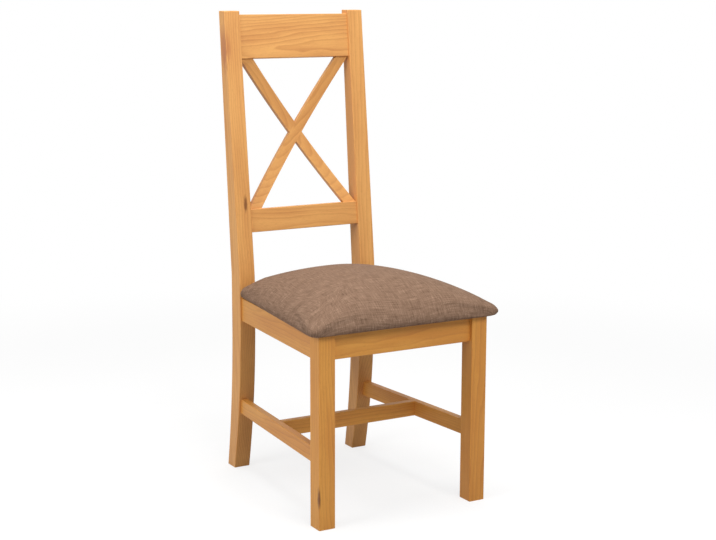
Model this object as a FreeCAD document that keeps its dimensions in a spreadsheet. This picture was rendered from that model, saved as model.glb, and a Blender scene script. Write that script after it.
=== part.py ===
"""Cross back dining chair: an oak frame with a raked, crossed back, and an upholstered seat pad.

The origin is on the floor, under the middle of the whole chair. X runs to the right of someone who
looks at the front of the chair, Y runs to the back and Z runs up. Left and right are that viewer's.
Lengths are in millimetres and angles in degrees.

The frame is mortised and tenoned. The back above the bend of the posts is drawn in a raked frame of
its own: its origin is on the front line of the posts at the bend, its Z runs up the posts and its Y
runs square to them, to the back.
"""
import FreeCAD, Part
import math
import os
import Sketcher

doc = FreeCAD.newDocument("cross_back_chair")
SIDES = (("left", -1), ("right", 1))
UNDER_STEPS = 3
CROWN_STEPS = 10
CORNER_STEPS = 4

SIZES = (
    ("chair_height", 1060, "floor to the top of the rear posts"),
    ("frame_height", 414, "floor to the top of the front legs and seat rails"),
    ("leg_span", 414, "width over the front legs"),
    ("post_span", 356, "width over the rear posts"),
    ("seat_depth", 431.5, "front of the front legs to front of the rear posts"),
    ("leg_width", 38, "front leg, side to side"),
    ("leg_depth", 40, "front leg, front to back"),
    ("post_width", 38.5, "rear post, side to side"),
    ("post_depth", 44.5, "rear post at the seat, front to back"),
    ("post_top_depth", 28.3, "rear post at its top, front to back"),
    ("post_foot_depth", 36.5, "rear post at the floor, front to back"),
    ("foot_sweep", 39.7, "how far the foot of a rear post stands back"),
    ("sweep_height", 360, "height where that sweep ends"),
    ("bend_height", 463, "height where the back starts to lean"),
    ("bend_radius", 300, "rounding of the posts at the bend"),
    ("back_rake", 6.37, "lean of the back from upright"),
    ("edge_round", 1.6, "rounding of the long edges of the timber"),
    ("rail_thickness", 22, "seat rails and back rails"),
    ("rail_height", 53.2, "seat rails, top to bottom"),
    ("front_rail_recess", 9.9, "front rail behind the front of the legs"),
    ("rear_rail_recess", 11.2, "rear rail behind the front of the posts"),
    ("side_rail_inset", 4.25, "side rails inside the outer faces of legs and posts"),
    ("tenon_thickness", 10, "tenons of the rails"),
    ("tenon_length", 20, "tenons of the side and back rails"),
    ("tenon_shoulder", 7, "shoulder above and below a rail's tenon"),
    ("tenon_wall", 3, "timber between two tenons that meet in a leg"),
    ("joint_gap", 0.1, "clearance round a tenon"),
    ("glue_gap", 1, "space at the blind end of a mortise"),
    ("stretcher_bottom", 137.6, "floor to the underside of the stretchers"),
    ("stretcher_height", 34.4, "stretchers, top to bottom"),
    ("stretcher_thickness", 16.9, "stretchers"),
    ("stretcher_inset", 4.7, "side stretchers inside the outer faces of legs and posts"),
    ("stretcher_tenon", 14, "length of the side stretchers' tenons"),
    ("stretcher_tenon_thickness", 8, "tenons of the stretchers"),
    ("stretcher_shoulder", 5, "shoulder above and below a stretcher's tenon"),
    ("centre_stretcher_place", 234.6, "front of the legs to the front of the centre stretcher"),
    ("centre_tenon", 8, "length of the centre stretcher's tenons"),
    ("back_rail_recess", 4.3, "crest and lower rail behind the front of the posts"),
    ("crest_set_down", 7.6, "top of the posts to the top of the crest rail"),
    ("crest_height", 99.5, "crest rail, top to bottom"),
    ("lower_rail_rise", 99.4, "bend to the underside of the lower back rail"),
    ("lower_rail_height", 53, "lower back rail, top to bottom"),
    ("slat_end_width", 31.5, "length of a slat's end along its rail"),
    ("slat_thickness", 12, "cross slats"),
    ("slat_setback", 10.5, "front of a slat's ends behind the front of the posts"),
    ("slat_bow", 17, "how far the crossing of the slats bows to the back"),
    ("slat_post_gap", 0.3, "slat's corner to the post"),
    ("tongue_width", 18, "tongues on the slats' ends, along the rail"),
    ("tongue_thickness", 7, "tongues on the slats' ends"),
    ("tongue_length", 9, "tongues on the slats' ends"),
    ("lap_gap", 0.05, "clearance in the half-lap"),
    ("block_leg", 62, "corner block's run along each rail"),
    ("block_height", 34, "corner blocks, top to bottom"),
    ("dust_cover_thickness", 0.6, "non-woven sheet under the pad"),
    ("cover_thickness", 1.2, "woven cover of the pad"),
    ("hem_width", 30, "cover turned under the board"),
    ("board_thickness", 12, "plywood board of the pad"),
    ("board_inset", 20, "edge of the board inside the widest line of the pad"),
    ("soft_gap", 0.3, "clearance of soft parts"),
    ("pad_front_width", 466, "pad at its widest line, front"),
    ("pad_rear_width", 351, "pad at its widest line, back, if it had no notches"),
    ("pad_overhang", 15.6, "pad in front of the legs"),
    ("pad_rear_setback", 2.7, "rear edge of the pad in front of the rear rail's back"),
    ("pad_crown_place", 177, "front of the pad to the top of its crown"),
    ("pad_side_rise", 14.5, "seat frame to the pad's widest line"),
    ("pad_draw_in", 20, "pad's underside inside its widest line"),
    ("pad_crown", 80, "widest line of the pad to the top of its crown"),
    ("pad_corner", 14, "corner radius of the pad at its widest line"),
    ("pad_crown_corner", 150, "how fast the corners grow round towards the crown"),
    ("corner_facet", 22.5, "turn of one facet of a rounded corner"),
    ("crown_fullness", 2.43, "exponent of the crown over the pad's plan"),
    ("crown_shoulder", 1.25, "exponent of the crown over its height"),
    ("crown_spread", 1.45, "how the crown's sections crowd together at its edge"),
)

sheet = doc.addObject("Spreadsheet::Sheet", "Sizes")
for row, (alias, number, meaning) in enumerate(SIZES, 1):
    sheet.set("A%d" % row, meaning)
    sheet.set("B%d" % row, str(number))
    sheet.setAlias("B%d" % row, alias)
doc.recompute()


class Length:
    """A number together with the expression that gives it from the sheet."""

    def __init__(self, number, text):
        self.number = float(number)
        self.text = text

    def __add__(self, other):
        other = length(other)
        return Length(self.number + other.number, "(%s + %s)" % (self.text, other.text))

    def __sub__(self, other):
        other = length(other)
        return Length(self.number - other.number, "(%s - %s)" % (self.text, other.text))

    def __mul__(self, other):
        other = length(other)
        return Length(self.number * other.number, "%s * %s" % (self.text, other.text))

    def __truediv__(self, other):
        other = length(other)
        return Length(self.number / other.number, "%s / (%s)" % (self.text, other.text))

    def __rsub__(self, other):
        return length(other) - self

    def __rtruediv__(self, other):
        return length(other) / self

    def __neg__(self):
        return Length(-self.number, "(-1 * %s)" % self.text)

    __radd__ = __add__
    __rmul__ = __mul__


def length(value):
    """A plain number, or a Length as it is."""
    if isinstance(value, Length):
        return value
    return Length(value, "%.9g" % value if value >= 0 else "(%.9g)" % value)


def size(alias):
    """One driving dimension."""
    return Length(getattr(sheet, alias), "Sizes.%s" % alias)


def sine(angle):
    return Length(math.sin(math.radians(angle.number)), "sin(%s)" % angle.text)


def cosine(angle):
    return Length(math.cos(math.radians(angle.number)), "cos(%s)" % angle.text)


def tangent(angle):
    return Length(math.tan(math.radians(angle.number)), "tan(%s)" % angle.text)


def root(square):
    return Length(math.sqrt(square.number), "sqrt(%s)" % square.text)


def power(base, exponent):
    return Length(base.number ** exponent.number, "pow(%s; %s)" % (base.text, exponent.text))


# Frame lines that several pieces share
post_rise = (size("chair_height") - size("bend_height")) / cosine(size("back_rake"))
top_lean = (size("chair_height") - size("bend_height")) * tangent(size("back_rake"))
whole_depth = size("pad_overhang") + size("seat_depth") + top_lean + size("post_top_depth")
leg_front = size("pad_overhang") - whole_depth / 2
leg_back = leg_front + size("leg_depth")
seat_line = leg_front + size("seat_depth")
leg_outer = size("leg_span") / 2
leg_inner = leg_outer - size("leg_width")
post_outer = size("post_span") / 2
post_inner = post_outer - size("post_width")
side_slope = (leg_outer - post_outer) / (seat_line - leg_back)
side_stretch = root(side_slope * side_slope + 1)
rail_bottom = size("frame_height") - size("rail_height")
rail_middle = size("frame_height") - size("rail_height") / 2
rail_across = size("rail_thickness") * side_stretch
side_rail_middle = size("side_rail_inset") + rail_across / 2
stretcher_middle = size("stretcher_bottom") + size("stretcher_height") / 2
stretcher_across = size("stretcher_thickness") * side_stretch
lower_rail_top = size("lower_rail_rise") + size("lower_rail_height")
crest_top = post_rise - size("crest_set_down")
crest_bottom = crest_top - size("crest_height")
cross_middle = (lower_rail_top + crest_bottom) / 2
cross_half = (crest_bottom - lower_rail_top) / 2


def sweep_radius(setback):
    """Radius of the foot's sweep: upright where it ends, and set back by this much at the floor."""
    rise = size("sweep_height")
    return (rise * rise + setback * setback) / (setback * 2)


foot_radius = sweep_radius(size("foot_sweep"))


def post_front(level):
    """Front face of a rear post at a height within the sweep."""
    drop = size("sweep_height") - level
    return seat_line + foot_radius - root(foot_radius * foot_radius - drop * drop)


def raked(back, up):
    """A point of the raked frame, as Y and Z of the chair."""
    across = seat_line + back * cosine(size("back_rake")) + up * sine(size("back_rake"))
    level = size("bend_height") - back * sine(size("back_rake")) + up * cosine(size("back_rake"))
    return across, level


def set_raked(feature):
    """Lean a piece of the back."""
    turn = FreeCAD.Rotation(FreeCAD.Vector(1, 0, 0), -size("back_rake").number)
    origin = FreeCAD.Vector(0, seat_line.number, size("bend_height").number)
    feature.Placement = FreeCAD.Placement(origin, turn)
    feature.setExpression("Placement.Base.y", seat_line.text)
    feature.setExpression("Placement.Base.z", "Sizes.bend_height")
    feature.setExpression("Placement.Rotation.Yaw", "0")
    feature.setExpression("Placement.Rotation.Pitch", "0")
    feature.setExpression("Placement.Rotation.Roll", "-1 * Sizes.back_rake")


def new_body(name):
    body = doc.addObject("PartDesign::Body", name)
    body.Label = name
    return body


def middle_of(start, chord, radius, side):
    """Middle point of an arc: side is 1 where the arc bulges to the left of its travel."""
    half = chord.Length / 2
    rise = radius - math.sqrt(radius * radius - half * half)
    left = FreeCAD.Vector(-chord.y, chord.x, 0)
    left.normalize()
    return start + chord * 0.5 + left * (rise * side)


def draw(body, name, role, station, corners):
    """A closed sketch on a plane parallel to an origin plane.

    A corner is (across, up), or (across, up, radius, side) where an arc leaves it.
    """
    sketch = body.newObject("Sketcher::SketchObject", name)
    plane = [item for item in body.Origin.OriginFeatures if item.Role == role][0]
    sketch.AttachmentSupport = (plane, [""])
    sketch.MapMode = "FlatFace"
    offset = -station if role == "XZ_Plane" else station
    sketch.setExpression("AttachmentOffset.Base.z", offset.text)
    starts = []
    ends = []
    points = [FreeCAD.Vector(length(c[0]).number, length(c[1]).number, 0) for c in corners]
    for index, corner in enumerate(corners):
        first = points[index]
        last = points[(index + 1) % len(points)]
        if len(corner) == 2:
            geo = sketch.addGeometry(Part.LineSegment(first, last), False)
            starts.append((geo, 1))
            ends.append((geo, 2))
            continue
        middle = middle_of(first, last - first, corner[2].number, corner[3])
        if corner[3] < 0:
            geo = sketch.addGeometry(Part.Arc(first, middle, last), False)
            starts.append((geo, 1))
            ends.append((geo, 2))
        else:
            geo = sketch.addGeometry(Part.Arc(last, middle, first), False)
            starts.append((geo, 2))
            ends.append((geo, 1))
    for index, corner in enumerate(corners):
        follower = (index + 1) % len(corners)
        sketch.addConstraint(Sketcher.Constraint("Coincident", *ends[index], *starts[follower]))
        for kind, value in zip(("DistanceX", "DistanceY"), corner[:2]):
            value = length(value)
            rule = sketch.addConstraint(Sketcher.Constraint(kind, *starts[index], value.number))
            sketch.setExpression("Constraints[%d]" % rule, value.text)
        if len(corner) == 4:
            rule = sketch.addConstraint(
                Sketcher.Constraint("Radius", starts[index][0], corner[2].number))
            sketch.setExpression("Constraints[%d]" % rule, corner[2].text)
    return sketch


def box_corners(left, right, low, high):
    return [(left, low), (right, low), (right, high), (left, high)]


def volume(body):
    doc.recompute()
    return body.Shape.Volume


def add(body, sketch, thickness):
    """Material to both sides of a sketch."""
    pad = body.newObject("PartDesign::Pad", sketch.Name + "_pad")
    pad.Profile = sketch
    pad.SideType = "Symmetric"
    pad.setExpression("Length", thickness.text)
    doc.recompute()
    return pad


def cut(body, sketch, thickness):
    """A pocket to both sides of a sketch, which has to remove material."""
    before = volume(body)
    pocket = body.newObject("PartDesign::Pocket", sketch.Name + "_cut")
    pocket.Profile = sketch
    pocket.SideType = "Symmetric"
    pocket.setExpression("Length", thickness.text)
    if volume(body) > before - 1:
        raise RuntimeError("%s removes nothing" % pocket.Name)
    return pocket


def ease(body, name, radius, wanted):
    """Round the edges of a body that a test picks."""
    base = body.Tip
    edges = ["Edge%d" % (i + 1) for i, edge in enumerate(base.Shape.Edges) if wanted(edge)]
    fillet = body.newObject("PartDesign::Fillet", name)
    fillet.Base = (base, edges)
    fillet.setExpression("Radius", radius.text)
    doc.recompute()
    return fillet


def spread(edge):
    """How far an edge runs along each axis."""
    box = edge.BoundBox
    return FreeCAD.Vector(box.XLength, box.YLength, box.ZLength)


def along_x(edge):
    run = spread(edge)
    return run.x > 1 and run.y < 0.01 and run.z < 0.01


def along_rail(edge):
    """Any edge that runs mainly to the back."""
    run = spread(edge)
    return run.y > 50 and run.z < 0.01


def plan_mortise(body, name, left, right, front, back, level, height):
    """A mortise with its clearance, drawn from above."""
    gap = size("joint_gap")
    corners = box_corners(left - gap, right + gap, front - gap, back + gap)
    return cut(body, draw(body, name, "XY_Plane", level, corners), height + gap * 2)


# Widths of the joints that several pieces share
rail_tenon_height = size("rail_height") - size("tenon_shoulder") * 2
stretcher_tenon_height = size("stretcher_height") - size("stretcher_shoulder") * 2
tenon_half = size("tenon_thickness") / 2
stretcher_tenon_half = size("stretcher_tenon_thickness") / 2
front_rail_line = leg_front + size("front_rail_recess")
rear_rail_line = seat_line + size("rear_rail_recess")
cross_tenon = size("leg_width") - side_rail_middle - tenon_half - size("tenon_wall")
rear_cross_tenon = size("post_width") - side_rail_middle - tenon_half - size("tenon_wall")
stretcher_rear = post_front(stretcher_middle)


def side_line(inset, across, half, depth):
    """X of the middle of a piece that runs between a leg and a post, at a depth, for the right side."""
    return leg_outer - inset - across / 2 - (depth - leg_back) * side_slope + half


def mirror(side, low, high):
    """A span of X on one side of the chair, in rising order."""
    if side > 0:
        return low, high
    return -high, -low


def front_leg(name, side):
    """A straight square leg with mortises for the front rail, the side rail and the side stretcher."""
    body = new_body(name)
    left, right = mirror(side, leg_inner, leg_outer)
    corners = box_corners(left, right, leg_front, leg_back)
    plan = draw(body, name + "_plan", "XY_Plane", size("frame_height") / 2, corners)
    add(body, plan, size("frame_height"))
    ease(body, name + "_edges", size("edge_round"), lambda edge: spread(edge).z > 1)
    depth = cross_tenon + size("glue_gap")
    left, right = mirror(side, leg_inner - size("glue_gap"), leg_inner + depth)
    middle = front_rail_line + size("rail_thickness") / 2
    plan_mortise(body, name + "_front_rail", left, right, middle - tenon_half, middle + tenon_half,
                 rail_middle, rail_tenon_height)
    middle = side_line(size("side_rail_inset"), rail_across, 0, leg_back)
    left, right = mirror(side, middle - tenon_half, middle + tenon_half)
    plan_mortise(body, name + "_side_rail", left, right,
                 leg_back - size("tenon_length") - size("glue_gap"), leg_back + size("glue_gap"),
                 rail_middle, rail_tenon_height)
    middle = side_line(size("stretcher_inset"), stretcher_across, 0, leg_back)
    left, right = mirror(side, middle - stretcher_tenon_half, middle + stretcher_tenon_half)
    plan_mortise(body, name + "_stretcher", left, right,
                 leg_back - size("stretcher_tenon") - size("glue_gap"), leg_back + size("glue_gap"),
                 stretcher_middle, stretcher_tenon_height)
    return body


def rear_post(name, side):
    """Rear leg and back upright in one: swept foot, upright at the seat, raked and tapered above."""
    body = new_body(name)
    seat_back = seat_line + size("post_depth")
    foot_front = seat_line + size("foot_sweep")
    foot_back = foot_front + size("post_foot_depth")
    top_front = seat_line + top_lean
    corners = [
        (foot_front, 0, foot_radius, 1),
        (seat_line, size("sweep_height")),
        (seat_line, size("bend_height")),
        (top_front, size("chair_height")),
        (top_front + size("post_top_depth"), size("chair_height")),
        (seat_back, size("bend_height")),
        (seat_back, size("sweep_height"), sweep_radius(foot_back - seat_back), -1),
        (foot_back, 0),
    ]
    middle = (post_outer + post_inner) / 2 * side
    add(body, draw(body, name + "_profile", "YZ_Plane", middle, corners), size("post_width"))
    bend = size("bend_height").number
    ease(body, name + "_bend", size("bend_radius"),
         lambda edge: along_x(edge) and abs(edge.BoundBox.ZMax - bend) < 0.01)
    sweep = size("sweep_height").number
    ease(body, name + "_edges", size("edge_round"),
         lambda edge: spread(edge).x < 0.01 or abs(edge.BoundBox.Center.z - sweep) > sweep - 0.01)
    rake_mortise(body, name + "_crest", side, crest_bottom, crest_top)
    rake_mortise(body, name + "_lower_rail", side, size("lower_rail_rise"), lower_rail_top)
    left, right = mirror(side, post_inner - size("glue_gap"),
                         post_inner + rear_cross_tenon + size("glue_gap"))
    middle = rear_rail_line + size("rail_thickness") / 2
    plan_mortise(body, name + "_rear_rail", left, right, middle - tenon_half, middle + tenon_half,
                 rail_middle, rail_tenon_height)
    middle = side_line(size("side_rail_inset"), rail_across, 0, seat_line)
    left, right = mirror(side, middle - tenon_half, middle + tenon_half)
    plan_mortise(body, name + "_side_rail", left, right, seat_line - size("glue_gap"),
                 seat_line + size("tenon_length") + size("glue_gap"), rail_middle, rail_tenon_height)
    middle = side_line(size("stretcher_inset"), stretcher_across, 0, stretcher_rear)
    left, right = mirror(side, middle - stretcher_tenon_half, middle + stretcher_tenon_half)
    plan_mortise(body, name + "_stretcher", left, right, stretcher_rear - size("stretcher_tenon"),
                 stretcher_rear + size("stretcher_tenon") + size("glue_gap"),
                 stretcher_middle, stretcher_tenon_height)
    return body


def rake_mortise(body, name, side, low, high):
    """A mortise for a back rail, square to the raked post."""
    gap = size("joint_gap")
    middle = size("back_rail_recess") + size("rail_thickness") / 2
    front = middle - tenon_half - gap
    back = middle + tenon_half + gap
    low = low + size("tenon_shoulder") - gap
    high = high - size("tenon_shoulder") + gap
    corners = [raked(front, low), raked(back, low), raked(back, high), raked(front, high)]
    depth = size("tenon_length") + size("glue_gap")
    return cut(body, draw(body, name, "YZ_Plane", post_inner * side, corners), depth * 2)


def cross_rail(name, half_span, tenon, front, low, high):
    """A rail square to the sides: its section, and a longer, smaller section for both tenons."""
    body = new_body(name)
    back = front + size("rail_thickness")
    corners = box_corners(front, back, low, high)
    add(body, draw(body, name + "_section", "YZ_Plane", length(0), corners), half_span * 2)
    ease(body, name + "_edges", size("edge_round"), along_x)
    middle = (front + back) / 2
    corners = box_corners(middle - tenon_half, middle + tenon_half,
                          low + size("tenon_shoulder"), high - size("tenon_shoulder"))
    add(body, draw(body, name + "_tenons", "YZ_Plane", length(0), corners), (half_span + tenon) * 2)
    return body


def side_plan(side, inset, across, back):
    """Plan of a piece between a leg and a post, up to a depth."""
    drift = (back - leg_back) * side_slope
    outer = leg_outer - inset
    corners = [(outer, leg_back), (outer - drift, back), (outer - across - drift, back),
               (outer - across, leg_back)]
    return [(x * side, y) for x, y in corners]


def side_rail(name, side):
    """A seat rail that runs in towards the back, with square tenons."""
    body = new_body(name)
    corners = side_plan(side, size("side_rail_inset"), rail_across, seat_line)
    add(body, draw(body, name + "_plan", "XY_Plane", rail_middle, corners), size("rail_height"))
    ease(body, name + "_edges", size("edge_round"), along_rail)
    reach = size("tenon_length")
    for end, depth in (("front", leg_back), ("rear", seat_line)):
        middle = side_line(size("side_rail_inset"), rail_across, 0, depth)
        left, right = mirror(side, middle - tenon_half, middle + tenon_half)
        corners = box_corners(left, right, depth - reach, depth + reach)
        sketch = draw(body, "%s_%s_tenon" % (name, end), "XY_Plane", rail_middle, corners)
        add(body, sketch, rail_tenon_height)
    return body


def side_stretcher(name, side):
    """A low stretcher whose rear shoulder follows the sweep of the post's foot."""
    body = new_body(name)
    reach = size("stretcher_tenon")
    corners = side_plan(side, size("stretcher_inset"), stretcher_across, stretcher_rear + reach)
    add(body, draw(body, name + "_plan", "XY_Plane", stretcher_middle, corners), size("stretcher_height"))
    ease(body, name + "_edges", size("edge_round"), along_rail)
    above = stretcher_middle + size("stretcher_height")
    below = stretcher_middle - size("stretcher_height")
    beyond = stretcher_rear + reach * 2
    corners = [(post_front(below), below, foot_radius, 1), (post_front(above), above),
               (beyond, above), (beyond, below)]
    cut(body, draw(body, name + "_shoulder", "YZ_Plane", length(0), corners), size("leg_span"))
    for end, depth, front in (("front", leg_back, leg_back - reach),
                              ("rear", stretcher_rear, stretcher_rear - reach)):
        middle = side_line(size("stretcher_inset"), stretcher_across, 0, depth)
        left, right = mirror(side, middle - stretcher_tenon_half, middle + stretcher_tenon_half)
        corners = box_corners(left, right, front, front + reach * 2)
        sketch = draw(body, "%s_%s_tenon" % (name, end), "XY_Plane", stretcher_middle, corners)
        add(body, sketch, stretcher_tenon_height)
    front, back = centre_tenon_plan()
    inner = centre_line_inner((front + back) / 2)
    left, right = mirror(side, inner - size("glue_gap") * 2,
                         inner + size("centre_tenon") + size("glue_gap"))
    plan_mortise(body, name + "_mortise", left, right, front, back, stretcher_middle,
                 stretcher_tenon_height)
    return body


def centre_line_inner(depth):
    """X of the inner face of the right side stretcher at a depth."""
    return leg_outer - size("stretcher_inset") - stretcher_across - (depth - leg_back) * side_slope


def centre_tenon_plan():
    """Front and back of the centre stretcher's tenons."""
    middle = leg_front + size("centre_stretcher_place") + size("stretcher_thickness") / 2
    return middle - stretcher_tenon_half, middle + stretcher_tenon_half


def centre_stretcher(name):
    """The bar of the H, cut to the slant of the side stretchers at both ends."""
    body = new_body(name)
    front = leg_front + size("centre_stretcher_place")
    back = front + size("stretcher_thickness")
    wide = centre_line_inner(front)
    narrow = centre_line_inner(back)
    corners = [(-wide, front), (wide, front), (narrow, back), (-narrow, back)]
    add(body, draw(body, name + "_plan", "XY_Plane", stretcher_middle, corners), size("stretcher_height"))
    ease(body, name + "_edges", size("edge_round"), along_x)
    front, back = centre_tenon_plan()
    reach = centre_line_inner((front + back) / 2) + size("centre_tenon")
    corners = box_corners(-reach, reach, front, back)
    sketch = draw(body, name + "_tenons", "XY_Plane", stretcher_middle, corners)
    add(body, sketch, stretcher_tenon_height)
    return body


def back_rail(name, low, high, tongue_level, tongue_side):
    """A back rail with its two tenons, and a mortise at each end for a slat's tongue."""
    body = cross_rail(name, post_inner, size("tenon_length"), size("back_rail_recess"), low, high)
    set_raked(body)
    gap = size("joint_gap")
    front, back = tongue_depths()
    for side_name, side in SIDES:
        left, right = mirror(side, tongue_middle - size("tongue_width") / 2 - gap,
                             tongue_middle + size("tongue_width") / 2 + gap)
        corners = box_corners(left, right, front - gap, back + gap)
        sketch = draw(body, "%s_mortise_%s" % (name, side_name), "XY_Plane", tongue_level, corners)
        cut(body, sketch, (size("tongue_length") + size("glue_gap")) * 2)
    return body


# The cross: both slats lie in one sheet that bows to the back on an arc
slat_end = post_inner - size("slat_post_gap")
tongue_middle = slat_end - size("slat_end_width") / 2
slat_front_radius = (cross_half * cross_half + size("slat_bow") * size("slat_bow")) / (size("slat_bow") * 2)
bow_centre = size("slat_setback") + size("slat_bow") - slat_front_radius


def bow_face(depth):
    """Radius of a face of the bowed sheet, and where it meets the rails."""
    radius = slat_front_radius + depth
    return radius, bow_centre + root(radius * radius - cross_half * cross_half)


def tongue_depths():
    """Front and back of a slat's tongue, in the middle of the slat's end."""
    front = bow_face(length(0))[1]
    back = bow_face(size("slat_thickness"))[1]
    middle = (front + back) / 2
    return middle - size("tongue_thickness") / 2, middle + size("tongue_thickness") / 2


def bowed_sheet(name, near, far):
    """A layer of the bowed sheet between two depths from its front face."""
    body = new_body(name)
    near_radius, near_end = bow_face(near)
    far_radius, far_end = bow_face(far)
    low = cross_middle - cross_half
    high = cross_middle + cross_half
    corners = [
        (near_end, low),
        (far_end, low, far_radius, -1),
        (far_end, high),
        (near_end, high, near_radius, 1),
    ]
    add(body, draw(body, name + "_section", "YZ_Plane", length(0), corners), post_inner * 2)
    return body


def slat_bar(name, side):
    """The straight bar that a slat is in front view: side is 1 where it rises to the right."""
    body = new_body(name)
    low = cross_middle - cross_half
    high = cross_middle + cross_half
    inner = slat_end - size("slat_end_width")
    corners = [(-slat_end * side, low), (-inner * side, low), (slat_end * side, high), (inner * side, high)]
    depth = size("slat_setback") + (size("slat_bow") + size("slat_thickness")) / 2
    reach = (size("slat_bow") + size("slat_thickness")) * 2
    add(body, draw(body, name + "_front", "XZ_Plane", depth, corners), reach)
    return body


def slat_tongues(name, side):
    """Stub tenons on both ends of a slat, rooted in the slat."""
    front, back = tongue_depths()
    half = size("tongue_width") / 2
    bodies = []
    root_depth = size("tongue_length") / 4
    reach = (size("tongue_length") - root_depth) / 2
    for end, middle, level in (("foot", -tongue_middle * side, cross_middle - cross_half - reach),
                               ("head", tongue_middle * side, cross_middle + cross_half + reach)):
        body = new_body("%s_%s" % (name, end))
        corners = box_corners(middle - half, middle + half, front, back)
        sketch = draw(body, "%s_%s_plan" % (name, end), "XY_Plane", level, corners)
        add(body, sketch, size("tongue_length") + root_depth)
        bodies.append(body)
    return bodies


def boolean(kind, name, base, tool):
    feature = doc.addObject(kind, name)
    feature.Base = base
    feature.Tool = tool
    doc.recompute()
    return feature


def lapped_slat(name, bar, whole, other_bar, lapped_away, tongues):
    """A slat: its bar within the bowed sheet, less the layer where the other slat crosses, plus tongues."""
    blank = boolean("Part::Common", name + "_blank", bar, whole)
    notch = boolean("Part::Common", name + "_notch", other_bar, lapped_away)
    lapped = boolean("Part::Cut", name + "_lapped", blank, notch)
    slat = doc.addObject("Part::MultiFuse", name)
    slat.Shapes = [lapped] + tongues
    slat.Refine = True
    slat.Label = name
    doc.recompute()
    set_raked(slat)
    return slat


def cross_slats():
    """The rising slat keeps its front half at the crossing and the falling slat its back half."""
    half = size("slat_thickness") / 2
    whole = bowed_sheet("bow_whole", length(0), size("slat_thickness"))
    front = bowed_sheet("bow_front", length(0), half)
    back = bowed_sheet("bow_back", half - size("lap_gap"), size("slat_thickness"))
    rising_bar = slat_bar("bar_rising", 1)
    falling_bar = slat_bar("bar_falling", -1)
    rising = lapped_slat("cross_slat_rising", rising_bar, whole, falling_bar, back,
                         slat_tongues("tongue_rising", 1))
    falling = lapped_slat("cross_slat_falling", falling_bar, whole, rising_bar, front,
                          slat_tongues("tongue_falling", -1))
    return [rising, falling]


def corner_block(name, side, end):
    """A block glued into a corner of the seat frame, notched round the leg or post."""
    body = new_body(name)
    run = size("block_leg")
    if end == "front":
        corner_x, corner_y, rail, way = leg_inner, leg_back, front_rail_line + size("rail_thickness"), 1
    else:
        corner_x, corner_y, rail, way = post_inner, seat_line, rear_rail_line, -1
    face_at_corner = side_line(size("side_rail_inset"), rail_across, -rail_across / 2, corner_y)
    face_at_end = side_line(size("side_rail_inset"), rail_across, -rail_across / 2, corner_y + run * way)
    corners = [(corner_x - run, rail), (corner_x, rail), (corner_x, corner_y), (face_at_corner, corner_y),
               (face_at_end, corner_y + run * way)]
    corners = [(x * side, y) for x, y in corners]
    level = size("frame_height") - size("block_height") / 2
    add(body, draw(body, name + "_plan", "XY_Plane", level, corners), size("block_height"))
    return body


# The pad: its plan is the same rounded trapezoid at every level, drawn in below its widest line
# and shrinking to the crown above it
pad_base = size("frame_height") + size("dust_cover_thickness")
pad_widest = size("frame_height") + size("pad_side_rise")
hem_top = pad_base + size("cover_thickness")
pad_front = leg_front - size("pad_overhang")
pad_rear = rear_rail_line + size("rail_thickness") - size("pad_rear_setback")
pad_middle = pad_front + size("pad_crown_place")


def rounded_trapezoid(front_half, rear_half, front, rear, radius):
    """Plan of a cushion or board: four sides with tangent arcs at the corners."""
    slope = (front_half - rear_half) / (rear - front)
    run_y = 1 / root(slope * slope + 1)
    run_x = slope * run_y
    front_cut = radius * (1 + run_x) / run_y
    rear_cut = radius * (1 - run_x) / run_y
    front_bend = []
    rear_bend = []
    for step in range(CORNER_STEPS):
        turn = size("corner_facet") * step
        across = radius * sine(turn)
        along = radius * (1 - cosine(turn))
        front_bend.append((front_half - front_cut + across, front + along))
        rear_bend.append((rear_half - rear_cut + across, rear - along))
    front_bend.append((front_half - front_cut * run_x, front + front_cut * run_y))
    rear_bend.append((rear_half + rear_cut * run_x, rear - rear_cut * run_y))
    right = front_bend + rear_bend[::-1]
    return right + [(-x, y) for x, y in right[::-1]]


def pad_plan(share, inset):
    """The pad's plan at a share of its widest plan, drawn in by an inset."""
    radius = share * (size("pad_corner") + (1 - share) * size("pad_crown_corner"))
    return rounded_trapezoid(share * size("pad_front_width") / 2 - inset,
                             share * size("pad_rear_width") / 2 - inset,
                             pad_middle - share * size("pad_crown_place") + inset,
                             pad_middle + share * (pad_rear - pad_middle) - inset,
                             radius)


def notch(body, skin):
    """Take out the corners where the rear posts stand, with a skin's distance from them."""
    reach = size("chair_height")
    low = size("soft_gap") + skin
    for side_name, side in SIDES:
        left, right = mirror(side, post_inner - low, post_outer * 2)
        corners = box_corners(left, right, seat_line - low, seat_line + size("seat_depth"))
        sketch = draw(body, "%s_notch_%s" % (body.Label, side_name), "XY_Plane", pad_widest, corners)
        cut(body, sketch, reach)


def draw_in_at(level):
    """How far the underside is drawn in at a level below the widest line: a quarter of an ellipse."""
    drop = (pad_widest - level) / (pad_widest - pad_base)
    return size("pad_draw_in") * (1 - root(1 - drop * drop))


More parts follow.
